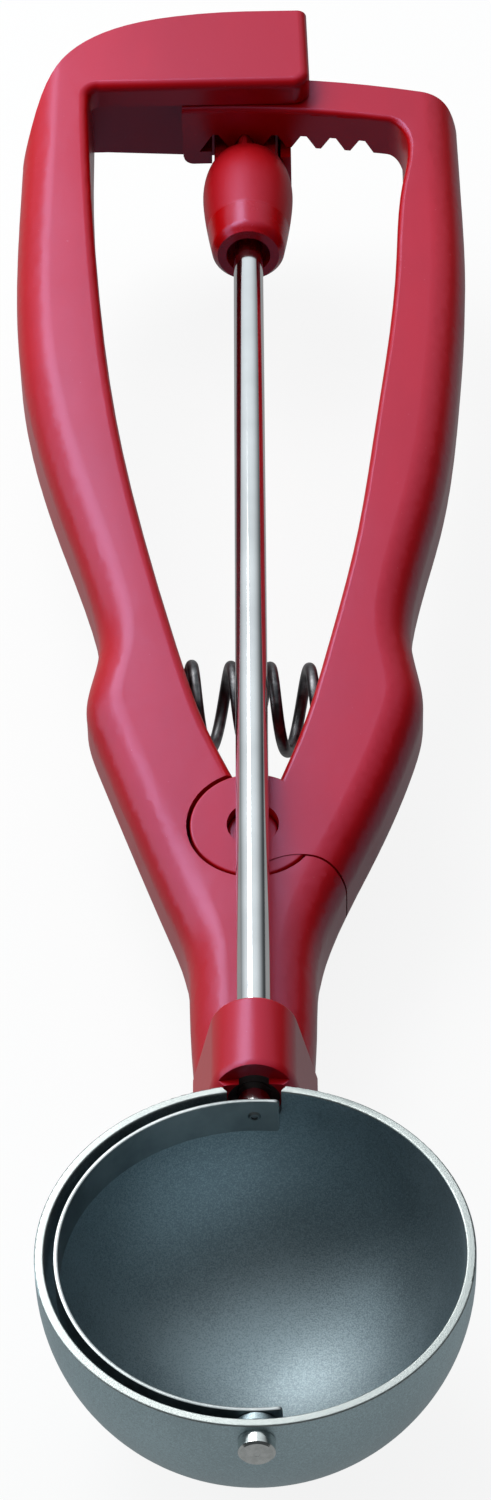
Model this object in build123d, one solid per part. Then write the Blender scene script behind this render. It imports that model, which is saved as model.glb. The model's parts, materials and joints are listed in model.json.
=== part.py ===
"""Lever ice cream scoop with a rack-driven scraper blade.

Frame: the origin is the centre of the bowl, +Y runs along the shaft towards the
handles and +Z points out of the bowl's mouth. Everything is in millimetres.
The fixed handle carries the bowl. The lever turns on the pivot pin, its toothed
bar drives the pinion, and the pinion turns the shaft and the scraper blade.
"""
from build123d import *
import math
import os

# ---- clearances ----
running_gap = 0.05
seat_gap = 0.02
seam_gap = 0.30
hub_seam = 0.45
end_float = 0.15
tooth_end_gap = 0.10

# ---- bowl and the tang that ties it to the handle ----
bowl_radius = 24.5
bowl_wall = 1.1
collar_height = 2.6
notch_half_width = 3.1
notch_bevel = 0.9
tang_width = 9.0
tang_thickness = 1.6
tang_length = 22.0
tang_z = -8.6
tang_hole_radius = 1.6
foot_thickness = 1.2
foot_height = 7.0

# ---- scraper blade and its front rivet ----
blade_thickness = 0.5
blade_width = 5.0
blade_gap = 1.05
blade_tail = 2.8
rivet_radius = 1.4
rivet_head_radius = 2.05
rivet_head_height = 1.75
rivet_dimple_radius = 0.4
rivet_button_radius = 1.9
rivet_button_height = 0.45
spacer_radius = 2.4

# ---- shaft ----
shaft_radius = 2.0
tenon_radius = 1.25
tenon_stand_out = 0.25
tenon_dimple_radius = 0.4
shaft_flat_depth = 0.45
journal_length = 6.0

# ---- pinion and its knob ----
pinion_teeth = 6
gear_module = 4.0 / 3.0
pressure_angle = math.radians(30)
pinion_tip_radius = 4.95
pinion_root_radius = 2.6
tooth_backlash = 0.22
pinion_phase = -4.3
tooth_length = 7.9
knob_radius = 6.17
knob_end_radius = 4.2
knob_length = 18.5
knob_recess_radius = 3.0
knob_recess_depth = 3.0

# ---- lever pivot ----
pivot_y = 72.4
hub_radius = 7.7
pin_head_radius = 3.1
pin_head_height = 1.6
pin_head_gap = 0.1
pin_radius = 2.5
pin_sink = 1.3
washer_radius = 3.4
washer_thickness = 0.5
screw_radius = 1.2
screw_length = 7.0
screw_head_radius = 2.3
screw_head_height = 1.1
driver_slot_width = 0.7
shim_radius = 6.8
shim_thickness = 0.25

# ---- handles: both are drawn flat and lean forward about the hub's front face ----
handle_tilt = 8.2
hub_front = -3.7
hub_back = -17.2
back_top = -22.4
neck_low_depth = 9.83
bend_y = 64.0
lever_rise_share = 0.22
level_drop = 7.75
plate_thickness = 4.0
plate_gap = 0.2

# ---- handles: rounded edges ----
outer_round = 4.8
inner_round = 1.3
lever_inner_round = 0.8
edge_round = 0.8
disc_round = 0.3

# ---- rack on the lever's bar ----
rack_teeth = 193
bar_centre_x = -5.3
rack_inner_radius = 125.35
bar_depth = 6.0
rack_tip = 2.85
rack_valley = 5.1
first_gap = -1
gap_count = 6
bar_end_x = -8.9
bar_end_angle = 5.6
lug_width = 3.95
lug_round = 1.4
lug_back = -0.5
arm_blend = 2.5
arm_inner_x = 21.6

# ---- bridge of the fixed handle ----
plate_end_x = 8.75
plate_end_top_x = 8.25
plate_overhang = 0.65
plate_corner_radius = 2.4
web_thickness = 8.4
bridge_inner_x = -21.6
web_gap = 0.25
web_back_left = -22.4
web_back_right = -24.1
cradle_wall = 0.85
cradle_gap = 0.25
cradle_left_x = -4.6
cradle_top = 2.4
cradle_back = -6.4
tail_bush_radius = 3.0

# ---- neck, shoulder and nose of the fixed handle ----
shoulder_x = 5.6
shoulder_y = 60.1
shoulder_radius = 7.3
nose_radius = 5.1
nose_draft = 13.0
nose_set_forward = 0.4
nose_length = 10.9
neck_start = 3.5
nose_edge_round = 1.4
nose_set_back = 0.9
bush_radius = 3.1
bush_length = 7.0

# ---- return spring ----
spring_x = -0.15
spring_y = 97.4
spring_z = -8.45
spring_radius = 5.3
wire_radius = 0.75
spring_pitch = 4.95
spring_skew = -3.4
spring_half_length = 10.4
spring_start_angle = -63.7
pocket_gap = 0.3

# ---- values that follow from the ones above ----
pitch_radius = pinion_teeth * gear_module / 2
rack_pitch_radius = rack_teeth * gear_module / 2
bar_outer_radius = rack_inner_radius + bar_depth
plate_back = hub_front - plate_thickness
bar_front = plate_back - plate_gap
bar_inner_y = pivot_y + rack_inner_radius
bar_outer_y = pivot_y + bar_outer_radius
level_y = bar_inner_y - level_drop
lever_rise_start = pivot_y + lever_rise_share * rack_inner_radius
plate_low_y = bar_inner_y + plate_overhang
web_y = bar_outer_y + web_gap
handle_top_y = web_y + web_thickness
nose_front_y = bowl_radius + nose_set_forward
nose_end_y = nose_front_y + nose_length
neck_low_y = bowl_radius + neck_start
cradle_right_x = pinion_tip_radius + cradle_gap + cradle_wall
lap_z = (hub_front + hub_back) / 2
lap_half = shim_thickness / 2 + seat_gap
blade_outer = bowl_radius - bowl_wall - blade_gap
blade_inner = blade_outer - blade_thickness
tooth_end_y = web_y - tooth_end_gap
tooth_start_y = tooth_end_y - tooth_length
knob_end_y = tooth_start_y - knob_length
journal_start_y = tooth_end_y + end_float
pocket_radius = spring_radius + wire_radius + pocket_gap
tilt_slope = math.tan(math.radians(handle_tilt))
far = 80.0


# ---------------------------------------------------------------- small helpers
def slab(x, y, z):
    """Box between the given (low, high) pairs."""
    box = Box(x[1] - x[0], y[1] - y[0], z[1] - z[0])
    return Pos(sum(x) / 2, sum(y) / 2, sum(z) / 2) * box


def upright(radius, low_z, high_z, x=0.0, y=0.0):
    """Cylinder parallel to Z."""
    return Pos(x, y, (low_z + high_z) / 2) * Cylinder(radius, high_z - low_z)


def along_shaft(radius, low_y, high_y):
    """Cylinder on the shaft's axis."""
    return Pos(0, (low_y + high_y) / 2, 0) * Rot(90, 0, 0) * Cylinder(radius, high_y - low_y)


def prism(outline, low_z, high_z):
    """Upright solid over a closed plan outline."""
    return Pos(0, 0, low_z) * extrude(Face(Wire(outline)), amount=high_z - low_z, dir=(0, 0, 1))


def lean(shape):
    """Turn a shape drawn in the handles' own plane into its place."""
    return Pos(0, pivot_y, hub_front) * Rot(handle_tilt, 0, 0) * Pos(0, -pivot_y, -hub_front) * shape


def edges_over(solid, curves, z_side):
    """Edges of a solid that lie over the plan curves, on its front (+1) or back (-1) half."""
    found = []
    for edge in solid.edges():
        points = [edge @ t for t in (0.0, 0.5, 1.0)]
        flat = [Vertex(p.X, p.Y, 0) for p in points]
        over = any(all(curve.distance_to(v) < 0.02 for v in flat) for curve in curves)
        standing = abs(edge.tangent_at(0.5).Z) > 0.9
        if over and not standing and (points[1].Z - middle_height(points[1].Y)) * z_side > 0:
            found.append(edge)
    return found


def middle_height(y):
    """Height half way between a handle's front and back faces, roughly."""
    if y < bend_y:
        return (hub_front + hub_back) / 2 + 0.2 * (bend_y - y)
    return (hub_front + hub_back) / 2 - 0.033 * (y - bend_y)


def side_profile(low_y, high_y, front_top):
    """Solid between a handle's front and back faces, drawn in the handles' own plane."""

    def sweep(start_y, low, end_y, high):
        reach = end_y - start_y
        return Bezier((0, start_y, low), (0, start_y + 0.4 * reach, low),
                      (0, end_y - 0.4 * reach, high), (0, end_y, high))

    neck_front = hub_front + (bend_y - 8 - low_y) * tilt_slope + 8 * tilt_slope
    bend_end = (0, bend_y - 8, hub_front + 8 * tilt_slope)
    outline = [
        Line((0, low_y, neck_front), bend_end),
        Bezier(bend_end, (0, bend_y, hub_front), (0, bend_y + 8, hub_front)),
        Line((0, bend_y + 8, hub_front), (0, lever_rise_start, hub_front)),
    ]
    if front_top == hub_front:
        outline += [Line((0, lever_rise_start, hub_front), (0, high_y, hub_front))]
    else:
        outline += [sweep(lever_rise_start, hub_front, level_y, front_top),
                    Line((0, level_y, front_top), (0, high_y, front_top))]
    outline += [
        Line((0, high_y, front_top), (0, high_y, back_top)),
        Line((0, high_y, back_top), (0, level_y + 2, back_top)),
        sweep(bend_y + 20, hub_back, level_y + 2, back_top),
        Line((0, bend_y + 20, hub_back), (0, bend_y - 9, hub_back)),
        Line((0, bend_y - 9, hub_back), (0, low_y, neck_front - neck_low_depth)),
        Line((0, low_y, neck_front - neck_low_depth), (0, low_y, neck_front)),
    ]
    return extrude(Face(Wire(outline)), amount=far, dir=(1, 0, 0), both=True)


# ---------------------------------------------------------------- bowl
def make_bowl():
    outer = Sphere(bowl_radius) - slab((-far, far), (-far, far), (0, far))
    outer += upright(bowl_radius, 0, collar_height)
    inner_radius = bowl_radius - bowl_wall
    inner = Sphere(inner_radius) + upright(inner_radius, 0, collar_height + 1)
    bowl = outer - inner
    rim = bowl.edges().filter_by(GeomType.CIRCLE).group_by(Axis.Z)[-1]
    bowl = fillet(rim, bowl_wall * 0.2)
    # U-shaped notch for the shaft, its sides bevelled towards the outside
    wall_y = (inner_radius - 3, bowl_radius + 3)
    notch = along_shaft(notch_half_width, *wall_y)
    notch += slab((-notch_half_width, notch_half_width), wall_y, (0, collar_height + 1))
    flare = Wire([
        Line((-notch_half_width, inner_radius, 0), (notch_half_width, inner_radius, 0)),
        Line((notch_half_width, inner_radius, 0), (notch_half_width + 2 * notch_bevel, bowl_radius + 1, 0)),
        Line((notch_half_width + 2 * notch_bevel, bowl_radius + 1, 0),
             (-notch_half_width - 2 * notch_bevel, bowl_radius + 1, 0)),
        Line((-notch_half_width - 2 * notch_bevel, bowl_radius + 1, 0), (-notch_half_width, inner_radius, 0)),
    ])
    notch += extrude(Face(flare), amount=collar_height + 1, dir=(0, 0, 1))
    bowl -= notch
    bowl -= along_shaft(rivet_radius + seat_gap, -bowl_radius - 1, -bowl_radius + 3)
    return bowl


def tang_shape(gap):
    """Tang and the curved foot that is welded to the bowl, grown by a gap for its pocket."""
    top = tang_z + tang_thickness / 2 + gap
    bottom = tang_z - tang_thickness / 2 - gap
    half = tang_width / 2 + gap
    start_y = bowl_radius * 0.8
    end_y = bowl_radius + tang_length + gap
    strip = slab((-half, half), (start_y, end_y), (bottom, top))
    foot = slab((-half - 1, half + 1), (start_y - 6, bowl_radius + 4),
                (tang_z - foot_height / 2 - gap, tang_z + foot_height / 2 + gap))
    foot &= Sphere(bowl_radius + foot_thickness + gap)
    return strip + foot


def make_tang():
    tang = tang_shape(0) - Sphere(bowl_radius)
    for step in (1, 2):
        tang -= upright(tang_hole_radius, -far, far, y=bowl_radius + tang_length * step / 3)
    return tang


# ---------------------------------------------------------------- scraper
def make_blade():
    half = blade_width / 2
    ring = upright(blade_outer, -half, half) - upright(blade_inner, -half, half)
    ring -= slab((blade_tail, far), (-far, far), (-far, far))
    ends = [e for e in ring.edges() if e.center().X > blade_tail - 0.1 and e.length < 2 * blade_thickness]
    blade = fillet(ends, half * 0.8)
    blade -= along_shaft(rivet_radius + running_gap, -far, 0)
    blade -= along_shaft(tenon_radius + seat_gap, 0, far)
    return blade


def make_front_rivet():
    seat_y = -bowl_radius
    button_y = -blade_inner + rivet_button_radius**2 / (2 * blade_inner) + running_gap
    head = along_shaft(rivet_head_radius, seat_y - rivet_head_height, seat_y)
    head = chamfer(head.edges().group_by(Axis.Y)[0], 0.25)
    head -= Pos(0, seat_y - rivet_head_height, 0) * Sphere(rivet_dimple_radius)
    shank = along_shaft(rivet_radius, seat_y, button_y)
    button = along_shaft(rivet_button_radius, button_y, button_y + rivet_button_height)
    button = fillet(button.edges().group_by(Axis.Y)[-1], 0.3)
    return head + shank + button


def make_spacer():
    wall_y = -math.sqrt((bowl_radius - bowl_wall)**2 - spacer_radius**2)
    spacer = along_shaft(spacer_radius, wall_y, -blade_outer - running_gap)
    return spacer - along_shaft(rivet_radius + seat_gap, -far, far)


def make_shaft():
    shoulder_y = blade_outer + running_gap
    shaft = along_shaft(shaft_radius, shoulder_y, journal_start_y + journal_length)
    shaft = chamfer(shaft.edges().group_by(Axis.Y)[-1], 0.4)
    tenon_end = blade_inner - tenon_stand_out
    tenon = along_shaft(tenon_radius, tenon_end, shoulder_y)
    tenon -= Pos(0, tenon_end, 0) * Sphere(tenon_dimple_radius)
    shaft += tenon
    flat = slab((-far, far), (knob_end_y + knob_recess_depth, tooth_end_y),
                (-far, -shaft_radius + shaft_flat_depth))
    return shaft - flat


def tooth_outline():
    """Plan of the toothed part, seen along the shaft: involute flanks on a round root."""
    base_radius = pitch_radius * math.cos(pressure_angle)
    thickness = math.pi * gear_module / 2 - tooth_backlash

    def involute(angle):
        return math.tan(angle) - angle

    def half_angle(radius):
        at_pitch = thickness / (2 * pitch_radius) + involute(pressure_angle)
        return at_pitch - (involute(math.acos(base_radius / radius)) if radius > base_radius else 0)

    radii = [pinion_root_radius, base_radius, (base_radius + pitch_radius) / 2, pitch_radius,
             (pitch_radius + pinion_tip_radius) / 2, pinion_tip_radius]
    points = []
    for tooth in range(pinion_teeth):
        middle = math.radians(pinion_phase + 360 / pinion_teeth * tooth)
        flank = [(r, middle - half_angle(r)) for r in radii]
        flank += [(r, middle + half_angle(r)) for r in reversed(radii)]
        points += [(r * math.sin(a), 0, r * math.cos(a)) for r, a in flank]
    return Polyline(*points, close=True)


def make_pinion():
    # barrel-shaped knob, turned about the shaft
    shoulder = (pinion_tip_radius, tooth_start_y)
    widest = (knob_radius, knob_end_y + 0.7 * knob_length)
    foot = (knob_end_radius + 0.75, knob_end_y + 1.0)
    profile = [
        Line((0, knob_end_y, 0), (knob_end_radius, knob_end_y, 0)),
        Line((knob_end_radius, knob_end_y, 0), (*foot, 0)),
        Spline((*foot, 0), (knob_radius - 0.75, knob_end_y + 0.22 * knob_length, 0),
               (knob_radius - 0.15, knob_end_y + 0.5 * knob_length, 0), (*widest, 0), (*shoulder, 0)),
        Line((*shoulder, 0), (0, tooth_start_y, 0)),
        Line((0, tooth_start_y, 0), (0, knob_end_y, 0)),
    ]
    knob = revolve(Face(Wire(profile)), Axis.Y, 360)
    teeth = extrude(Face(Wire(tooth_outline())), amount=tooth_length + 0.5, dir=(0, 1, 0))
    pinion = knob + Pos(0, tooth_start_y - 0.5, 0) * teeth
    bore = along_shaft(shaft_radius + seat_gap, knob_end_y - 1, tooth_end_y + 1)
    bore -= slab((-far, far), (knob_end_y + knob_recess_depth, tooth_end_y + 2),
                 (-far, -shaft_radius + shaft_flat_depth - seat_gap))
    pinion -= bore
    pinion -= along_shaft(knob_recess_radius, knob_end_y - 1, knob_end_y + knob_recess_depth)
    return pinion


# ---------------------------------------------------------------- pivot
def make_pivot_pin():
    head_top = hub_front - pin_sink
    head_low = head_top - pin_head_height
    low_end = hub_back + screw_head_height + washer_thickness
    pin = upright(pin_head_radius, head_low, head_top, y=pivot_y)
    pin = fillet(pin.edges().group_by(Axis.Z)[-1], 0.4)
    pin += upright(pin_radius, low_end, head_low, y=pivot_y)
    pin -= upright(screw_radius + seat_gap, low_end - 1, low_end + screw_length + 0.5, y=pivot_y)
    return lean(pin)


def make_pivot_screw():
    head_top = hub_back + screw_head_height
    screw = upright(screw_head_radius, hub_back + 0.1, head_top, y=pivot_y)
    screw = fillet(screw.edges().group_by(Axis.Z)[0], 0.4)
    screw += upright(screw_radius, head_top, head_top + washer_thickness + screw_length, y=pivot_y)
    half = driver_slot_width / 2
    reach = screw_head_radius * 0.65
    depth = (hub_back, hub_back + 0.1 + screw_head_height * 0.6)
    screw -= slab((-reach, reach), (pivot_y - half, pivot_y + half), depth)
    screw -= slab((-half, half), (pivot_y - reach, pivot_y + reach), depth)
    return lean(screw)


def make_washer():
    low_z = hub_back + screw_head_height
    washer = upright(washer_radius, low_z, low_z + washer_thickness, y=pivot_y)
    return lean(washer - upright(screw_radius + running_gap, -far, far, y=pivot_y))


def make_shim():
    low_z = lap_z - lap_half
    shim = upright(shim_radius, low_z, low_z + shim_thickness, y=pivot_y)
    return lean(shim - upright(pin_radius + running_gap, -far, far, y=pivot_y))


# ---------------------------------------------------------------- return spring
def make_spring():
    coil = Helix(spring_pitch, 2 * spring_half_length, spring_radius)
    wire = Plane(origin=coil @ 0, z_dir=coil % 0) * Circle(wire_radius)
    spring = sweep(wire, path=coil, is_frenet=True)
    start = Pos(-spring_half_length, 0, 0) * Rot(0, 90, 0) * Rot(0, 0, spring_start_angle)
    return spring_place() * start * spring


def spring_place():
    return Pos(spring_x, spring_y, spring_z) * Rot(0, 0, spring_skew)


def spring_seat(side):
    """Recess in an arm's inner face for one end of the spring, open towards the back."""
    depth = spring_half_length + wire_radius
    low_x, high_x = (0, depth) if side > 0 else (-depth, 0)
    seat = Pos((low_x + high_x) / 2, 0, 0) * Rot(0, 90, 0) * Cylinder(pocket_radius, depth)
    seat += slab((low_x, high_x), (-pocket_radius, pocket_radius), (-far, 0))
    return spring_place() * seat


# ---------------------------------------------------------------- handles
def on_arc(radius, x):
    """Point of one of the bar's arcs, in the handles' own plane."""
    return (x, pivot_y + math.sqrt(radius**2 - (x - bar_centre_x)**2), 0)


def up_arm(x, share):
    """Point beside an arm, its height given as a share of the way from the pivot to the bar."""
    return (x, pivot_y + share * rack_inner_radius, 0)


def make_left_blank():
    """Left half of the neck, the left arm and the front plate of the bridge."""
    over_top = handle_top_y + 10
    wall = Spline((-6.85, neck_low_y, 0), (-7.75, shoulder_y - 14.1, 0), (-8.2, shoulder_y - 6.1, 0),
                  (-10.6, shoulder_y + 1.9, 0), up_arm(-14.85, 0.0128), up_arm(-19.3, 0.1165),
                  up_arm(-20.75, 0.1683), up_arm(-19.4, 0.2321), up_arm(-20.35, 0.3), up_arm(-25.0, 0.4316),
                  up_arm(-30.1, 0.6231), up_arm(-30.95, 0.7627), up_arm(-30.6, 0.9063), (-29.4, over_top, 0),
                  tangents=[(-0.03, 1, 0), (0.05, 1, 0)])
    corner = plate_corner_radius
    bend = 1.5
    end = Line((plate_end_top_x, over_top, 0), (plate_end_x, plate_low_y + corner, 0))
    end_corner = Spline(end @ 1, (plate_end_x - 0.28 * corner, plate_low_y + 0.3 * corner, 0),
                        (plate_end_x - corner, plate_low_y, 0), tangents=[end % 1, (-1, 0, 0)])
    low_edge = Line(end_corner @ 1, (bridge_inner_x + bend, plate_low_y, 0))
    inner_corner = TangentArc(low_edge @ 1, (bridge_inner_x, plate_low_y - bend, 0), tangent=(-1, 0, 0))
    inner = Spline(inner_corner @ 1, up_arm(-21.25, 0.8983), up_arm(-20.25, 0.7627), up_arm(-17.1, 0.5233),
                   up_arm(-13.3, 0.3638), up_arm(-8.8, 0.2122), up_arm(-5.6, 0.1245), up_arm(-2.3, 0.0606),
                   (3, pivot_y - 5, 0), tangents=[(0, -1, 0), (0.42, -1, 0)])
    step = (1.5, pivot_y - 5.6, 0)
    foot = (1.5, neck_low_y, 0)
    outline = [wall, Line(wall @ 1, end @ 0), end, end_corner, low_edge, inner_corner, inner,
               Line(inner @ 1, step), Line(step, foot), Line(foot, wall @ 0)]
    blank = prism(outline, -far, far) & side_profile(neck_low_y - 2, over_top + 2, hub_front)
    for side in (1, -1):
        blank = fillet(edges_over(blank, [wall], side), outer_round)
    blank = fillet(edges_over(blank, [inner, inner_corner, low_edge, end_corner, end], 1), inner_round)
    # rounded outer corner and the flat top of the bridge
    top = handle_top_y
    crown = Spline((-31.3, top - 29.4, 0), (-29.6, top - 20.9, 0), (-27.7, top - 13.7, 0),
                   (-24.2, top - 7.2, 0), (-17.2, top - 2.5, 0), (-8.4, top - 0.5, 0), (plate_end_x + 4, top, 0),
                   tangents=[(0.12, 1, 0), (1, 0, 0)])
    keep = [crown, Line(crown @ 1, (far, 0, 0)), Line((far, 0, 0), (-far, 0, 0)),
            Line((-far, 0, 0), crown @ 0)]
    blank &= prism(keep, -far, far)
    return blank - slab((0, far), (0, pivot_y + shoulder_radius), (-far, far))


def make_right_blank():
    """Right half of the neck, the right arm and the lever's bar, before the bar's back is cut."""
    over_top = handle_top_y + 4
    wall = Spline((6.6, neck_low_y, 0), (7.4, shoulder_y - 14.1, 0), (7.85, shoulder_y - 6.1, 0),
                  (10.1, shoulder_y + 1.9, 0), up_arm(15.25, 0.0128), up_arm(20.1, 0.1165),
                  up_arm(21.4, 0.1683), up_arm(20.25, 0.2401), up_arm(20.9, 0.3), up_arm(24.7, 0.4316),
                  up_arm(27.95, 0.6231),
                  up_arm(29.2, 0.7627), up_arm(29.15, 0.9063), (27.9, over_top, 0),
                  tangents=[(0.03, 1, 0), (-0.09, 1, 0)])
    bar_start = on_arc(rack_inner_radius, bar_end_x - 2)
    low_edge = ThreePointArc(bar_start, on_arc(rack_inner_radius, 4), on_arc(rack_inner_radius, 19.4))
    corner = Spline(low_edge @ 1, (21.5, bar_inner_y - 4.45, 0), (22.05, level_y, 0),
                    tangents=[low_edge % 1, (-0.02, -1, 0)])
    inner = Spline(corner @ 1, up_arm(21.2, 0.8903), up_arm(19.85, 0.7627), up_arm(16.4, 0.5233),
                   up_arm(13.5, 0.3638), up_arm(9.3, 0.2122), up_arm(6.4, 0.1245), up_arm(3.6, 0.0606),
                   (-3, pivot_y - 8.9, 0), tangents=[(-0.02, -1, 0), (-0.40, -1, 0)])
    step = (-1.5, pivot_y - 9.5, 0)
    foot = (-1.5, neck_low_y, 0)
    left = Line((bar_end_x - 2, over_top, 0), bar_start)
    outline = [wall, Line(wall @ 1, left @ 0), left, low_edge, corner, inner,
               Line(inner @ 1, step), Line(step, foot), Line(foot, wall @ 0)]
    blank = prism(outline, -far, far) & side_profile(neck_low_y - 2, over_top + 2, bar_front)
    for side in (1, -1):
        blank = fillet(edges_over(blank, [wall], side), outer_round)
    blank = fillet(edges_over(blank, [low_edge, corner, inner], 1), lever_inner_round)
    # the bar's top edge runs about the pivot and rounds over into the arm
    crown = ThreePointArc(on_arc(bar_outer_radius, bar_end_x - 3), on_arc(bar_outer_radius, 8),
                          on_arc(bar_outer_radius, 24.6))
    shoulder = Spline(crown @ 1, (27.8, bar_outer_y - 4.85, 0), (29.4, bar_outer_y - 10.75, 0),
                      (30.6, bar_outer_y - 23.75, 0), tangents=[crown % 1, (0.05, -1, 0)])
    keep = [crown, shoulder, Line(shoulder @ 1, (far, 0, 0)), Line((far, 0, 0), (-far, 0, 0)),
            Line((-far, 0, 0), crown @ 0)]
    blank &= prism(keep, -far, far)
    return blank - slab((-far, 0), (0, pivot_y + shoulder_radius), (-far, far))


def shoulder_zone(gap):
    """Where the right half belongs to the fixed handle: the neck and its round shoulder."""
    zone = upright(shoulder_radius + gap, -far, far, x=shoulder_x, y=shoulder_y)
    return zone + slab((-1, far), (0, shoulder_y), (-far, far))


def make_fixed_handle():
    handle = make_left_blank() + (make_right_blank() & shoulder_zone(0))

    # the lever's bar runs behind the plate, in front of the web
    handle -= slab((bridge_inner_x, far), (plate_low_y - 2, web_y), (-far, plate_back))
    handle -= slab((cradle_right_x, far), (plate_low_y - 2, far * 4), (-far, plate_back))

    # the web behind the bar grows deeper towards the pinion
    back_left_x = bridge_inner_x + 2
    back = Polyline((back_left_x, 0, web_back_left), (cradle_right_x, 0, web_back_right),
                    (cradle_right_x, 0, web_back_left + 2), (back_left_x, 0, web_back_left + 2), close=True)
    handle += Pos(0, web_y, 0) * extrude(Face(Wire(back)), amount=handle_top_y - 0.6 - web_y, dir=(0, 1, 0))

    # half-lap hub: the lever's disc turns in the front half
    handle -= upright(hub_radius + hub_seam, lap_z - lap_half, far, y=pivot_y)
    disc = upright(hub_radius, hub_back, lap_z - lap_half, y=pivot_y)
    handle += fillet(disc.edges().group_by(Axis.Z)[0], edge_round)
    handle -= upright(pin_radius + seat_gap, -far, far, y=pivot_y)
    washer_top = hub_back + screw_head_height + washer_thickness
    handle -= upright(washer_radius + seam_gap, -far, washer_top, y=pivot_y)
    handle = lean(handle)

    handle += make_nose() + make_cradle()
    handle -= spring_seat(-1)

    # seats: bowl, tang, shaft and bushes
    handle -= Sphere(bowl_radius + seat_gap)
    handle -= upright(bowl_radius + seat_gap, 0, collar_height)
    handle -= upright(bowl_radius + nose_set_back, collar_height, far)
    handle -= tang_shape(seat_gap)
    for step in (1, 2):
        post_y = bowl_radius + tang_length * step / 3
        handle += upright(tang_hole_radius - seat_gap, tang_z - 2, tang_z + 2, y=post_y)
    bush_end_y = bowl_radius + nose_set_back + bush_length
    handle -= along_shaft(bush_radius + seat_gap, bowl_radius - 3, bush_end_y)
    handle -= along_shaft(shaft_radius + seam_gap, bowl_radius - 3, nose_end_y + 3)
    journal_end_y = journal_start_y + journal_length
    handle -= along_shaft(tail_bush_radius + seat_gap, journal_start_y - 1, journal_end_y + 1)
    return handle


def make_nose():
    """Hooded bearing over the shaft: a round top whose sides flare down into the neck."""
    angle = math.radians(nose_draft)
    side_x = nose_radius * math.cos(angle)
    side_z = nose_radius * math.sin(angle)
    foot_z = -9.0
    foot_x = side_x + (side_z - foot_z) * math.tan(angle)
    y = nose_front_y - 1.5
    right = Line((foot_x, y, foot_z), (side_x, y, side_z))
    top = ThreePointArc((side_x, y, side_z), (0, y, nose_radius), (-side_x, y, side_z))
    left = Line((-side_x, y, side_z), (-foot_x, y, foot_z))
    section = Face(Wire([right, top, left, Line((-foot_x, y, foot_z), (foot_x, y, foot_z))]))
    hood = extrude(section, amount=nose_end_y - y, dir=(0, 1, 0))
    front = [e for e in hood.edges() if abs(e.center().Y - y) < 0.01 and e.center().Z > foot_z + 1]
    hood = fillet(front, nose_edge_round + 1.5)
    rear = [e for e in hood.edges() if abs(e.center().Y - nose_end_y) < 0.01 and e.center().Z > foot_z + 1]
    return fillet(rear, 0.35)


def make_cradle():
    """Trough round the back of the pinion, and the boss that holds the shaft's tail bush."""
    boss_end_y = journal_start_y + journal_length + 2.5
    trough = slab((cradle_left_x, cradle_right_x), (tooth_start_y, boss_end_y), (cradle_back, cradle_top))
    foot = trough.edges().filter_by(Axis.Y).group_by(Axis.Z)[0]
    trough = fillet(foot, 2.0)
    clear_radius = pinion_tip_radius + cradle_gap
    return trough - along_shaft(clear_radius, tooth_start_y - 1, journal_start_y)


# ---------------------------------------------------------------- lever
def rack_gap(index):
    """Wedge-shaped space between two rack teeth, square to the shaft when it meets the pinion."""
    width = math.pi * gear_module / 2
    slope = math.tan(pressure_angle)
    top_half = width / 2 - (rack_valley - pitch_radius) * slope
    low_z = rack_tip - 1
    low_half = width / 2 + (pitch_radius - low_z) * slope
    start = pivot_y + rack_inner_radius - 4
    section = Polyline((-low_half, start, low_z), (-top_half, start, rack_valley),
                       (top_half, start, rack_valley), (low_half, start, low_z), close=True)
    wedge = extrude(Face(Wire(section)), amount=bar_depth + 10, dir=(0, 1, 0))
    phase = math.degrees(math.radians(-pinion_phase) * pitch_radius / rack_pitch_radius)
    return turned_about_pivot(wedge, phase - index * 360 / rack_teeth)


def turned_about_pivot(shape, degrees):
    """A shape swung about the pivot pin's own leaning axis."""
    to_pivot = Pos(0, pivot_y, hub_front) * Rot(handle_tilt, 0, 0)
    back = Rot(-handle_tilt, 0, 0) * Pos(0, -pivot_y, -hub_front)
    return to_pivot * Rot(0, 0, degrees) * back * shape


def make_lever():
    lever = make_right_blank() - shoulder_zone(seam_gap)
    lever -= slab((-1, 0.01), (0, pivot_y + 5), (-far, far))

    # half-lap hub: this disc turns in front of the fixed handle's
    lever -= upright(hub_radius + hub_seam, -far, lap_z + lap_half, y=pivot_y)
    disc = upright(hub_radius, lap_z + lap_half, hub_front, y=pivot_y)
    lever += fillet(disc.edges().group_by(Axis.Z)[-1], disc_round)
    head_low = hub_front - pin_sink - pin_head_height
    lever -= upright(pin_head_radius + pin_head_gap, head_low, far, y=pivot_y)
    lever -= upright(pin_radius + running_gap, -far, far, y=pivot_y)

    # end of the bar, slanted so that it comes square to the fixed arm when squeezed
    end_point = on_arc(rack_inner_radius, bar_end_x)
    lever -= Pos(*end_point) * Rot(0, 0, -bar_end_angle) * slab((-far, 0), (-far / 2, far / 2), (-far, far))
    lever = lean(lever)

    # behind the bar only the arm and the end lug keep their depth
    behind_y = bar_inner_y - 6
    behind = slab((-far, arm_inner_x), (behind_y, far * 4), (-far, rack_tip))
    behind = fillet(behind.edges().filter_by(Axis.Y).group_by(Axis.X)[-1].group_by(Axis.Z)[-1], arm_blend)
    behind -= slab((bar_end_x - 3, bar_end_x + lug_width), (0, far * 4), (lug_back, rack_tip + 1))
    lever -= behind
    corner = slab((-lug_round, lug_round), (-far, far), (-lug_round, lug_round))
    corner -= Pos(lug_round, 0, lug_round) * Rot(90, 0, 0) * Cylinder(lug_round, far * 2)
    lever -= Pos(bar_end_x, end_point[1], lug_back) * Rot(0, 0, -bar_end_angle) * corner
    for index in range(first_gap, first_gap + gap_count):
        lever -= rack_gap(index)
    lever -= spring_seat(1)
    return lever


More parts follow.
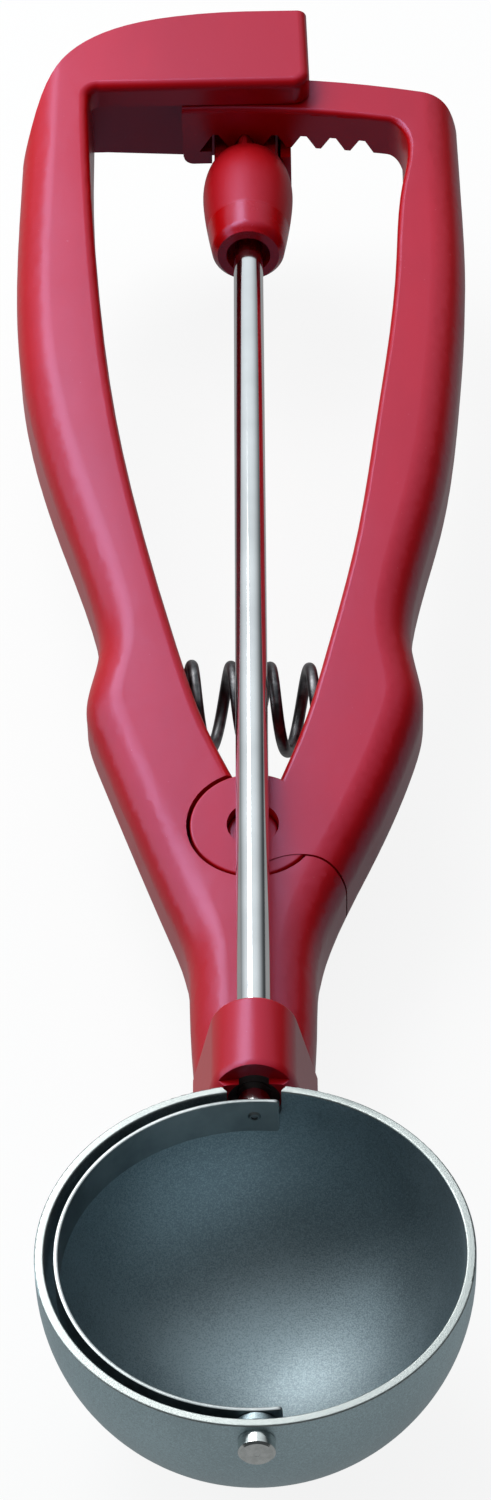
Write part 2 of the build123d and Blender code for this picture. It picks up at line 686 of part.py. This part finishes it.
# ---------------------------------------------------------------- bushes
def make_nose_bush():
    start_y = bowl_radius + nose_set_back
    bush = along_shaft(bush_radius, start_y, start_y + bush_length)
    return bush - along_shaft(shaft_radius + running_gap, 0, far)


def make_tail_bush():
    bush = along_shaft(tail_bush_radius, journal_start_y, journal_start_y + journal_length + 0.5)
    return bush - along_shaft(shaft_radius + running_gap, 0, far * 4)


PIECES = {
    "bowl": make_bowl,
    "bowl_tang": make_tang,
    "fixed_handle": make_fixed_handle,
    "lever_handle": make_lever,
    "pivot_pin": make_pivot_pin,
    "pivot_screw": make_pivot_screw,
    "pivot_washer": make_washer,
    "pivot_shim": make_shim,
    "return_spring": make_spring,
    "drive_shaft": make_shaft,
    "pinion": make_pinion,
    "nose_bush": make_nose_bush,
    "tail_bush": make_tail_bush,
    "scraper_blade": make_blade,
    "front_rivet": make_front_rivet,
    "rivet_spacer": make_spacer,
}

os.makedirs("parts", exist_ok=True)
for name, make in PIECES.items():
    piece = make()
    piece.label = name
    export_step(piece, f"parts/{name}.step")
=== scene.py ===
"""Looks for the lever ice cream scoop: steel bowl and blade, chrome rod, red plastic handles."""
import json
import math

import bmesh
import bpy
from mathutils import Matrix, Vector


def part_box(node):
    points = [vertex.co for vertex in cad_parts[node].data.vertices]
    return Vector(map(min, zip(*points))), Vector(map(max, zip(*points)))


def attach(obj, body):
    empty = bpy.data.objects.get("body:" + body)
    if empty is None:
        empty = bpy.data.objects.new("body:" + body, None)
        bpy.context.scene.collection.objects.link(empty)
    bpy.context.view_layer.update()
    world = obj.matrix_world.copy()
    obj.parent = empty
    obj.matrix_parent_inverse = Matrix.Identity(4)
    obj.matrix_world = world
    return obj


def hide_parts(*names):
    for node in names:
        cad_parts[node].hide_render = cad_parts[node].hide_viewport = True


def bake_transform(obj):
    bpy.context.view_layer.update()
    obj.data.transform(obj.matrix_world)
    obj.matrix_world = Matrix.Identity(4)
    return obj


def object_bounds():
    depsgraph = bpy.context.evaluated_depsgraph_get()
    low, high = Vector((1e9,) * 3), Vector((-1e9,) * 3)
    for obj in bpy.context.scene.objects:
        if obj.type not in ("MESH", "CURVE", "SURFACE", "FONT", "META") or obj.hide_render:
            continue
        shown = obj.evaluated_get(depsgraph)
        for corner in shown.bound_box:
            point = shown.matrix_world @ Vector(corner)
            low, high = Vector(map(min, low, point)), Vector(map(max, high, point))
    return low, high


MM = 0.001
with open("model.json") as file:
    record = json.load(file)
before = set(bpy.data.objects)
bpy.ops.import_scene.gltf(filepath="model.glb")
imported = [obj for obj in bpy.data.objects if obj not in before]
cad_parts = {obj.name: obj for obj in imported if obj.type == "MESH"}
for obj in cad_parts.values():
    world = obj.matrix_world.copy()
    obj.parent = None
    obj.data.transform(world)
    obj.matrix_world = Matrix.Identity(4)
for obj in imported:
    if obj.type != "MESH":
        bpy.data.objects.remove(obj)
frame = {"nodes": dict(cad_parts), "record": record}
cad_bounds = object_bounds()
nodes = frame["nodes"]
body_of = {node: body for body, names in frame["record"]["behaviour"]["bodies"].items() for node in names}
slot_of = {part["node"]: part["material_slot"] for part in frame["record"]["subparts"]}


# ---------------------------------------------------------------- camera
EYE = Vector((6.229, -356.217, 430.668)) * MM
GAZE = Vector((-0.01141, 0.71275, -0.70132)).normalized()
ROLL = math.radians(-1.64)
LENS_MM = 120.24
SENSOR_MM = 36.0
NEAREST_SEEN = 10 * MM


def aim_camera():
    """A long lens in front of and above the bowl, along the gaze and slightly rolled."""
    level = GAZE.cross(Vector((0, 0, 1))).normalized()
    upward = level.cross(GAZE)
    right = level * math.cos(ROLL) + upward * math.sin(ROLL)
    up = upward * math.cos(ROLL) - level * math.sin(ROLL)
    data = bpy.data.cameras.new("camera")
    data.lens = LENS_MM
    data.sensor_width = SENSOR_MM
    data.clip_start = NEAREST_SEEN
    camera = bpy.data.objects.new("camera", data)
    camera.matrix_world = Matrix.Translation(EYE) @ Matrix((right, up, -GAZE)).transposed().to_4x4()
    bpy.context.scene.collection.objects.link(camera)
    bpy.context.scene.camera = camera


# ---------------------------------------------------------------- shader maths
class Value:
    """A socket in a node tree that Python's operators work on."""

    def __init__(self, tree, socket):
        self.tree = tree
        self.socket = socket

    def math(self, operation, left, right):
        return add_node(self.tree, "ShaderNodeMath", {"operation": operation}, {0: left, 1: right})

    def __add__(self, other):
        return self.math("ADD", self, other)

    def __radd__(self, other):
        return self.math("ADD", other, self)

    def __sub__(self, other):
        return self.math("SUBTRACT", self, other)

    def __rsub__(self, other):
        return self.math("SUBTRACT", other, self)

    def __mul__(self, other):
        return self.math("MULTIPLY", self, other)

    def __rmul__(self, other):
        return self.math("MULTIPLY", other, self)


def add_node(tree, kind, settings=None, inputs=None, output=0):
    """Adds a node: its settings first, then the values or links of its sockets."""
    node = tree.nodes.new(kind)
    for name, value in (settings or {}).items():
        setattr(node, name, value)
    for key, value in (inputs or {}).items():
        socket = node.inputs[key]
        if isinstance(value, Value):
            tree.links.new(value.socket, socket)
        elif socket.type == "RGBA":
            socket.default_value = (*value, 1.0)
        else:
            socket.default_value = value
    return Value(tree, node.outputs[output])


def smooth_step(tree, value, low, high, to_low=0.0, to_high=1.0):
    """to_low where the value is below low, to_high where it is above high, and a smooth rise between."""
    inputs = {"Value": value, "From Min": low, "From Max": high, "To Min": to_low, "To Max": to_high}
    return add_node(tree, "ShaderNodeMapRange", {"interpolation_type": "SMOOTHSTEP"}, inputs)


class Finish:
    """One material and the patterns that its colour, gloss and grain are made from."""

    # The sockets of a Mix node that mixes colours.
    MIX_FACTOR, MIX_FIRST, MIX_SECOND, MIX_RESULT = 0, 6, 7, 2

    def __init__(self, name, **surface):
        self.material = bpy.data.materials.new(name)
        self.material.use_nodes = True
        self.tree = self.material.node_tree
        self.tree.nodes.clear()
        self.place = self.add("ShaderNodeTexCoord", output="Object")
        self.surface = surface

    def add(self, kind, settings=None, inputs=None, output=0):
        return add_node(self.tree, kind, settings, inputs, output)

    def stretched(self, x=1.0, y=1.0, z=1.0):
        """The place times a factor per axis: below 1 draws a pattern out along that axis."""
        return self.add("ShaderNodeMapping", {}, {"Vector": self.place, "Scale": (x, y, z)})

    def axis(self, name):
        return self.add("ShaderNodeSeparateXYZ", {}, {"Vector": self.place}, output=name)

    def from_centre(self):
        """The distance from the bowl's centre, where the origin is."""
        inputs = {"Vector": self.place}
        return self.add("ShaderNodeVectorMath", {"operation": "LENGTH"}, inputs, output="Value")

    def noise(self, per_metre, detail, roughness, at=None):
        inputs = {"Vector": at or self.place, "Scale": per_metre, "Detail": detail, "Roughness": roughness}
        return self.add("ShaderNodeTexNoise", {}, inputs)

    def span(self, value, low, high):
        return smooth_step(self.tree, value, low, high)

    def blend(self, factor, first, second):
        inputs = {self.MIX_FACTOR: factor, self.MIX_FIRST: first, self.MIX_SECOND: second}
        return self.add("ShaderNodeMix", {"data_type": "RGBA"}, inputs, output=self.MIX_RESULT)

    def bump(self, height, distance, strength, under=None):
        inputs = {"Height": height, "Distance": distance, "Strength": strength}
        if under is not None:
            inputs["Normal"] = under
        return self.add("ShaderNodeBump", {}, inputs)

    def wear(self, pattern, tones, rough, spread, low=0.3, high=0.7):
        """One pattern takes the colour from the dark to the light tone and spreads the roughness."""
        dark, light = tones
        self.surface["Base Color"] = self.blend(self.span(pattern, low, high), dark, light)
        self.surface["Roughness"] = rough + spread * pattern

    def finish(self):
        self.join(self.add("ShaderNodeBsdfPrincipled", {}, self.surface, output="BSDF"))
        return self.material

    def join(self, shader):
        output = self.tree.nodes.new("ShaderNodeOutputMaterial")
        self.tree.links.new(shader.socket, output.inputs["Surface"])


# ---------------------------------------------------------------- finishes
# The dark and the light tone of each surface.
TONES = {
    "handles": ((0.46, 0.0006, 0.0008), (0.54, 0.0008, 0.0010)),
    "knob": ((0.44, 0.0008, 0.0008), (0.52, 0.0010, 0.0010)),
    # The bowl's inside tones are darker as painted shade, and its outside tones lighter as painted light.
    "bowl_inside_painted_shade": ((0.25, 0.315, 0.345), (0.41, 0.50, 0.54)),
    "bowl_outside_painted_light": ((0.40, 0.52, 0.56), (0.55, 0.71, 0.76)),
    "bowl_rim": ((0.31, 0.34, 0.335), (0.38, 0.41, 0.405)),
    "blade": ((0.26, 0.285, 0.29), (0.38, 0.405, 0.41)),
    "rod": ((0.64, 0.65, 0.66), (0.74, 0.75, 0.76)),
    "wire": ((0.07, 0.07, 0.075), (0.20, 0.20, 0.21)),
    "screw": ((0.36, 0.37, 0.38), (0.50, 0.51, 0.52)),
    "rivet": ((0.56, 0.59, 0.58), (0.70, 0.73, 0.72)),
    "bushes": ((0.035, 0.018, 0.016), (0.07, 0.04, 0.035)),
}
DUST = (0.75, 0.35, 0.40)
VIOLET_SHEEN = (0.62, 0.52, 1.0)

BOWL_WALL = 1.1 * MM
WALL_MIDDLE = -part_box("bowl")[0][2] - BOWL_WALL / 2
RIM_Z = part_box("bowl")[1][2]
KNOB_GRIP_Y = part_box("pinion")[0][1] + 5.0 * MM


def red_plastic(name, tones, gloss, satin_from=None):
    """Satin moulded plastic: faint flow mottling, fine skin grain, a few dust specks and rub marks.

    Past satin_from along Y it is duller, with the fine lines of a surface that is gripped.
    """
    f = Finish(name)
    dark, light = tones
    flow = f.noise(per_metre=38.0, detail=4.0, roughness=0.6, at=f.stretched(y=0.35))
    skin = f.noise(per_metre=5200.0, detail=2.0, roughness=0.6)
    peel = f.noise(per_metre=620.0, detail=2.0, roughness=0.5)
    rubbed = f.span(f.noise(per_metre=90.0, detail=5.0, roughness=0.7), low=0.56, high=0.72)
    speck = f.span(f.noise(per_metre=3400.0, detail=1.0, roughness=0.4), low=0.80, high=0.84)
    plain = f.blend(f.span(flow, low=0.35, high=0.70), dark, light)
    rough = gloss + 0.05 * flow + 0.05 * rubbed
    grain = f.bump(peel, distance=0.04 * MM, strength=0.3)
    if satin_from is not None:
        gripped = f.span(f.axis("Y"), low=satin_from, high=satin_from + 0.6 * MM)
        lines = f.noise(per_metre=2600.0, detail=2.0, roughness=0.6, at=f.stretched(y=4.0))
        rough = rough + 0.20 * gripped
        grain = f.bump(lines * gripped, distance=0.04 * MM, strength=0.6, under=grain)
    f.surface.update({
        "Base Color": f.blend(0.30 * speck, plain, DUST),
        "Roughness": rough,
        "IOR": 1.5,
        "Specular IOR Level": 0.65,
        "Specular Tint": VIOLET_SHEEN,
        "Normal": f.bump(skin, distance=0.015 * MM, strength=0.3, under=grain),
    })
    return f.finish()


def blasted_steel(name):
    """Bead-blasted stainless steel: an even grain of tiny pits, cloudy patches and a ground rim.

    The outside of the bowl is painted lighter and a little bluer than the inside: painted light outside,
    painted shade inside.
    """
    f = Finish(name, Metallic=1.0)
    pits = f.noise(per_metre=6200.0, detail=2.0, roughness=0.7)
    coarse = f.noise(per_metre=3000.0, detail=3.0, roughness=0.65)
    cloud = f.noise(per_metre=55.0, detail=4.0, roughness=0.6)
    tone = f.span(0.50 * pits + 0.25 * coarse + 0.25 * cloud, low=0.40, high=0.61)
    rim = f.span(f.axis("Z"), low=RIM_Z - 0.25 * MM, high=RIM_Z - 0.05 * MM)
    # Painted light and shade: the inside takes the darker tones and the outside the lighter ones.
    outside = f.span(f.from_centre(), low=WALL_MIDDLE - 0.2 * MM, high=WALL_MIDDLE + 0.2 * MM)
    dark, light = (f.blend(outside, *pair) for pair in zip(TONES["bowl_inside_painted_shade"], TONES["bowl_outside_painted_light"]))
    rim_dark, rim_light = TONES["bowl_rim"]
    grain = f.bump(coarse, distance=0.02 * MM, strength=0.4)
    f.surface.update({
        "Base Color": f.blend(rim, f.blend(tone, dark, light), f.blend(cloud, rim_light, rim_dark)),
        "Roughness": 0.40 + 0.12 * cloud - 0.12 * rim,
        "Normal": f.bump(pits, distance=0.03 * MM, strength=0.6, under=grain),
    })
    return f.finish()


def polished_chrome(name):
    """Bright drawn rod with faint lengthwise lines."""
    f = Finish(name, Metallic=1.0)
    lines = f.noise(per_metre=900.0, detail=3.0, roughness=0.6, at=f.stretched(y=0.012))
    haze = f.noise(per_metre=70.0, detail=3.0, roughness=0.6)
    f.wear(haze, TONES["rod"], rough=0.07, spread=0.06)
    f.surface["Normal"] = f.bump(lines, distance=0.008 * MM, strength=0.3)
    return f.finish()


def rolled_steel(name):
    """Rolled spring steel strip: fine lengthwise brushing and faint stains."""
    f = Finish(name, Metallic=1.0)
    brushed = f.noise(per_metre=2600.0, detail=3.0, roughness=0.6, at=f.stretched(x=0.15, y=0.15))
    stain = f.noise(per_metre=120.0, detail=4.0, roughness=0.6)
    f.wear(stain, TONES["blade"], rough=0.24, spread=0.12)
    f.surface["Normal"] = f.bump(brushed, distance=0.01 * MM, strength=0.35)
    return f.finish()


def spring_wire(name):
    """Dark drawn wire with a dull oxide bloom."""
    f = Finish(name, Metallic=1.0)
    bloom = f.noise(per_metre=420.0, detail=4.0, roughness=0.65)
    drawn = f.noise(per_metre=2400.0, detail=3.0, roughness=0.55)
    f.wear(bloom, TONES["wire"], rough=0.28, spread=0.22, low=0.35, high=0.68)
    f.surface["Normal"] = f.bump(drawn, distance=0.02 * MM, strength=0.4)
    return f.finish()


def plated_screw(name):
    """Plated steel of the screw and its washer, with fine turning marks."""
    f = Finish(name, Metallic=1.0)
    turned = f.noise(per_metre=700.0, detail=3.0, roughness=0.6, at=f.stretched(z=6.0))
    f.wear(turned, TONES["screw"], rough=0.28, spread=0.12)
    f.surface["Normal"] = f.bump(turned, distance=0.02 * MM, strength=0.4)
    return f.finish()


def burnished_steel(name):
    """Turned and burnished rivet steel, brighter than the blasted bowl."""
    f = Finish(name, Metallic=1.0)
    turned = f.noise(per_metre=900.0, detail=3.0, roughness=0.6, at=f.stretched(y=5.0))
    f.wear(turned, TONES["rivet"], rough=0.13, spread=0.10)
    f.surface["Normal"] = f.bump(turned, distance=0.01 * MM, strength=0.4)
    return f.finish()


def bush_plastic(name):
    """Dull dark brown bearing plastic."""
    f = Finish(name)
    mottle = f.noise(per_metre=300.0, detail=4.0, roughness=0.6)
    f.wear(mottle, TONES["bushes"], rough=0.45, spread=0.15)
    f.surface["Normal"] = f.bump(mottle, distance=0.05 * MM, strength=0.3)
    return f.finish()


FINISHES = {
    "red_plastic": red_plastic("red_plastic", TONES["handles"], gloss=0.28),
    "bowl_steel": blasted_steel("bowl_steel"),
    "blade_steel": rolled_steel("blade_steel"),
    "shaft_chrome": polished_chrome("shaft_chrome"),
    "spring_steel": spring_wire("spring_steel"),
    "screw_steel": plated_screw("screw_steel"),
    "bush_plastic": bush_plastic("bush_plastic"),
}
OWN_FINISHES = {
    "front_rivet": burnished_steel("rivet_steel"),
    "pinion": red_plastic("knob_plastic", TONES["knob"], gloss=0.24, satin_from=KNOB_GRIP_Y),
}


def finish_of(node):
    """The finish that a node has of its own, or else its slot's."""
    return OWN_FINISHES.get(node, FINISHES[slot_of[node]])


# ---------------------------------------------------------------- pieces
WELD = 0.002 * MM
SLIVER = 0.001 * MM
CREASE = math.radians(32)
FACE_WEIGHT = 80


def merged_copy(node):
    """A copy of a CAD node with its loose triangles joined; edges sharper than CREASE stay crisp."""
    mesh = bmesh.new()
    mesh.from_mesh(nodes[node].data)
    bmesh.ops.remove_doubles(mesh, verts=mesh.verts, dist=WELD)
    bmesh.ops.dissolve_degenerate(mesh, edges=mesh.edges, dist=SLIVER)
    for face in mesh.faces:
        face.material_index = 0
    for edge in mesh.edges:
        edge.smooth = edge.is_manifold and edge.calc_face_angle(0.0) < CREASE
    return mesh


def place_piece(name, mesh, node, *finishes):
    """Puts a finished mesh in the scene in place of a CAD node, on that node's body.

    The spring alone is put on no body: its place is baked into its mesh.
    """
    for face in mesh.faces:
        face.smooth = True
    data = bpy.data.meshes.new(name)
    mesh.to_mesh(data)
    mesh.free()
    for finish in finishes:
        data.materials.append(finish)
    piece = bpy.data.objects.new(name, data)
    bpy.context.scene.collection.objects.link(piece)
    shading = piece.modifiers.new("even_shading", "WEIGHTED_NORMAL")
    shading.keep_sharp = True
    shading.weight = FACE_WEIGHT
    if node == "return_spring":
        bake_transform(piece)
    else:
        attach(piece, body_of[node])
    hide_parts(node)


def smooth_piece(node):
    """A node's own shape, smooth between its creases."""
    place_piece(node + "_skin", merged_copy(node), node, finish_of(node))


# ---------------------------------------------------------------- front rivet
RIVET_DIMPLE_RADIUS = 0.395 * MM
RIVET_DIMPLE_REACH = 1.0 * MM
RIVET_DIMPLE_LEFT = 0.12


def roll_rivet(node):
    """The rivet, with the dimple in its head rolled nearly flat."""
    mesh = merged_copy(node)
    head_y = min(vert.co.y for vert in mesh.verts)
    for vert in mesh.verts:
        depth = vert.co.y - head_y
        if math.hypot(vert.co.x, vert.co.z) < RIVET_DIMPLE_RADIUS and depth < RIVET_DIMPLE_REACH:
            vert.co.y = head_y + RIVET_DIMPLE_LEFT * depth
    place_piece(node + "_skin", mesh, node, finish_of(node))


# ---------------------------------------------------------------- scraper blade
# The high corner of its box gives the strip's sizes, here to a hundredth of a millimetre.
BLADE_TAIL, BLADE_OUTER, BLADE_HALF_WIDTH = (round(size, 5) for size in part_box("scraper_blade")[1])
BLADE_THICKNESS = 0.5 * MM
BLADE_INNER = BLADE_OUTER - BLADE_THICKNESS
BLADE_CORNER = 0.45 * MM
BLADE_EDGE = 0.07 * MM
BLADE_STEPS = 120
SQUARE = 1.0


def square_edges(mesh):
    """The edges where the faces turn by more than SQUARE, about 57 degrees."""
    return [edge for edge in mesh.edges if edge.calc_face_angle(0.0) > SQUARE]


def through_strip(edge):
    """Whether an edge runs from the strip's inner face to its outer face."""
    near, far = (vert.co for vert in edge.verts)
    return abs(near.z - far.z) < WELD and abs(near.xy.length - far.xy.length) > BLADE_THICKNESS / 2


def round_off(mesh, edges, offset, segments):
    """Bevels edges to a round."""
    bmesh.ops.bevel(mesh, geom=edges, offset=offset, segments=segments,
                    profile=0.5, affect="EDGES", material=-1)


def roll_blade(node):
    """The half ring of strip steel, with nipped corners and rubbed-down edges."""
    tail_angle = math.asin(BLADE_TAIL / BLADE_INNER)
    mesh = bmesh.new()
    section = [(BLADE_INNER, -BLADE_HALF_WIDTH), (BLADE_OUTER, -BLADE_HALF_WIDTH),
               (BLADE_OUTER, BLADE_HALF_WIDTH), (BLADE_INNER, BLADE_HALF_WIDTH)]
    start = Matrix.Rotation(math.pi / 2 - tail_angle, 3, "Z")
    verts = [mesh.verts.new(start @ Vector((radius, 0, height))) for radius, height in section]
    outline = [mesh.edges.new(pair) for pair in zip(verts, verts[1:] + verts[:1])]
    bmesh.ops.spin(mesh, geom=outline, cent=(0, 0, 0), axis=(0, 0, 1), dvec=(0, 0, 0),
                   angle=math.pi + 2 * tail_angle, steps=BLADE_STEPS, use_duplicate=False)
    bmesh.ops.remove_doubles(mesh, verts=mesh.verts, dist=WELD)
    ends = [edge for edge in mesh.edges if edge.is_boundary]
    bmesh.ops.holes_fill(mesh, edges=ends, sides=len(section))
    bmesh.ops.recalc_face_normals(mesh, faces=mesh.faces)
    nips = [edge for edge in square_edges(mesh) if through_strip(edge)]
    round_off(mesh, nips, BLADE_CORNER, segments=5)
    round_off(mesh, square_edges(mesh), BLADE_EDGE, segments=2)
    place_piece("blade_strip", mesh, node, finish_of(node))


# ---------------------------------------------------------------- drive shaft
# What lies outside the core on the tenon's end is drawn in to the radius that is shown.
TENON_END_Y = BLADE_INNER + 0.02 * MM
TENON_CORE = 0.80 * MM
TENON_SHOWN = 0.55 * MM
TENON_DIMPLE = 0.38 * MM
# The dimple's slot holds the dark wire steel as painted shade in the hollow.
TENON_SLOT, DIMPLE_SHADE_SLOT = 1, 2


def peen_shaft(node):
    """The rod, with the blade's steel showing where its tenon is peened over flush, and its dimple painted
    dark as shade.
    """
    mesh = merged_copy(node)
    for vert in mesh.verts:
        out = Vector((vert.co.x, 0, vert.co.z))
        if vert.co.y < TENON_END_Y and out.length > TENON_CORE:
            vert.co -= out * (1 - TENON_SHOWN / out.length)
    for face in mesh.faces:
        centre = face.calc_center_median()
        if centre.y < BLADE_OUTER:
            # Faces in the dimple take the dark wire steel: painted shade.
            in_dimple = math.hypot(centre.x, centre.z) < TENON_DIMPLE
            face.material_index = DIMPLE_SHADE_SLOT if in_dimple else TENON_SLOT
    place_piece(node + "_skin", mesh, node,
                finish_of(node), FINISHES["blade_steel"], FINISHES["spring_steel"])


# ---------------------------------------------------------------- all pieces
for node, cad in nodes.items():
    cad.data.materials.clear()
    cad.data.materials.append(finish_of(node))

RESHAPED = {"front_rivet": roll_rivet, "drive_shaft": peen_shaft, "scraper_blade": roll_blade}
for node in sorted(nodes.keys() - RESHAPED.keys()):
    smooth_piece(node)
for node, shape in RESHAPED.items():
    shape(node)


# ---------------------------------------------------------------- light and stage
# The sky is brightest towards a point up and behind the object. Its strength goes from the first
# level to the second while a direction's product with SKY_TOWARDS goes from one edge to the other.
SKY_TOWARDS = (-0.20, 0.55, 0.80)
SKY_EDGE = (0.32, 1.00)
SKY_LEVEL = (0.03, 1.08)
SKY_COLOUR = (0.90, 0.97, 1.0)
SKY_MIRRORED = 0.04
FLOOR_Z = cad_bounds[0][2] - 0.4 * MM
FLOOR_HALF_SIDE = 3.0
FLOOR_GLOW = 0.88
FLOOR_MIRRORED = 0.34
FLOOR_MATT = (0.86, 0.86, 0.86)
FLOOR_DULL = (0.06, 0.06, 0.06)
WHITE = (1.0, 1.0, 1.0)
WARM_WHITE = (1.0, 0.98, 0.96)
COOL_WHITE = (0.88, 0.97, 1.0)
LAMP_AIM = Vector((0, 0.08, 0))


def soft_lamp(name, place, size, radiance, shade):
    """A rectangular soft box of a given brightness, turned towards the object."""
    data = bpy.data.lights.new(name, "AREA")
    data.shape = "RECTANGLE"
    data.size, data.size_y = size
    data.energy = radiance * math.pi * size[0] * size[1]
    data.color = shade
    lamp = bpy.data.objects.new(name, data)
    lamp.location = place
    lamp.rotation_euler = (LAMP_AIM - Vector(place)).to_track_quat("-Z", "Y").to_euler()
    bpy.context.scene.collection.objects.link(lamp)


def seen_share(tree, mirrored):
    """1 for what the camera sees directly or through glass, and a share of that in mirrors."""
    straight = add_node(tree, "ShaderNodeLightPath", output="Is Camera Ray")
    through = add_node(tree, "ShaderNodeLightPath", output="Is Transmission Ray")
    glossy = add_node(tree, "ShaderNodeLightPath", output="Is Glossy Ray")
    return straight + through + mirrored * glossy


def lay_floor():
    """A white floor with the object's shadow. Mirrors show it fainter, and it throws little light back."""
    mesh = bmesh.new()
    bmesh.ops.create_grid(mesh, x_segments=1, y_segments=1, size=FLOOR_HALF_SIDE)
    bmesh.ops.translate(mesh, vec=(0, 0, FLOOR_Z), verts=mesh.verts)
    data = bpy.data.meshes.new("floor")
    mesh.to_mesh(data)
    mesh.free()
    floor = bpy.data.objects.new("floor", data)
    bpy.context.scene.collection.objects.link(floor)
    f = Finish("floor_white")
    matt = f.add("ShaderNodeBsdfDiffuse", {}, {"Color": FLOOR_MATT})
    dull = f.add("ShaderNodeBsdfDiffuse", {}, {"Color": FLOOR_DULL})
    glow = f.add("ShaderNodeEmission", {}, {"Color": WHITE, "Strength": 1.0})
    pale = f.add("ShaderNodeMixShader", {}, {0: FLOOR_GLOW, 1: matt, 2: glow})
    f.join(f.add("ShaderNodeMixShader", {}, {0: seen_share(f.tree, FLOOR_MIRRORED), 1: dull, 2: pale}))
    data.materials.append(f.material)


def light_world():
    """A soft sky that fades towards the front, at full strength to the camera and faint in mirrors."""
    world = bpy.data.worlds.new("studio")
    bpy.context.scene.world = world
    world.use_nodes = True
    tree = world.node_tree
    tree.nodes.clear()
    ray = add_node(tree, "ShaderNodeTexCoord", output="Generated")
    vectors = {0: ray, 1: SKY_TOWARDS}
    towards = add_node(tree, "ShaderNodeVectorMath", {"operation": "DOT_PRODUCT"}, vectors, output="Value")
    sky = smooth_step(tree, towards, *SKY_EDGE, *SKY_LEVEL)
    seen = seen_share(tree, SKY_MIRRORED)
    inputs = {"Color": SKY_COLOUR, "Strength": sky * (1 - seen) + seen}
    glow = add_node(tree, "ShaderNodeBackground", {}, inputs)
    output = tree.nodes.new("ShaderNodeOutputWorld")
    tree.links.new(glow.socket, output.inputs["Surface"])


aim_camera()
lay_floor()
light_world()
soft_lamp("overhead", place=(-0.20, 0.34, 0.42), size=(0.36, 0.24), radiance=5.9, shade=WARM_WHITE)
soft_lamp("left_side", place=(-0.55, 0.16, 0.24), size=(0.44, 0.46), radiance=2.0, shade=COOL_WHITE)
bpy.context.scene.view_settings.view_transform = "Standard"
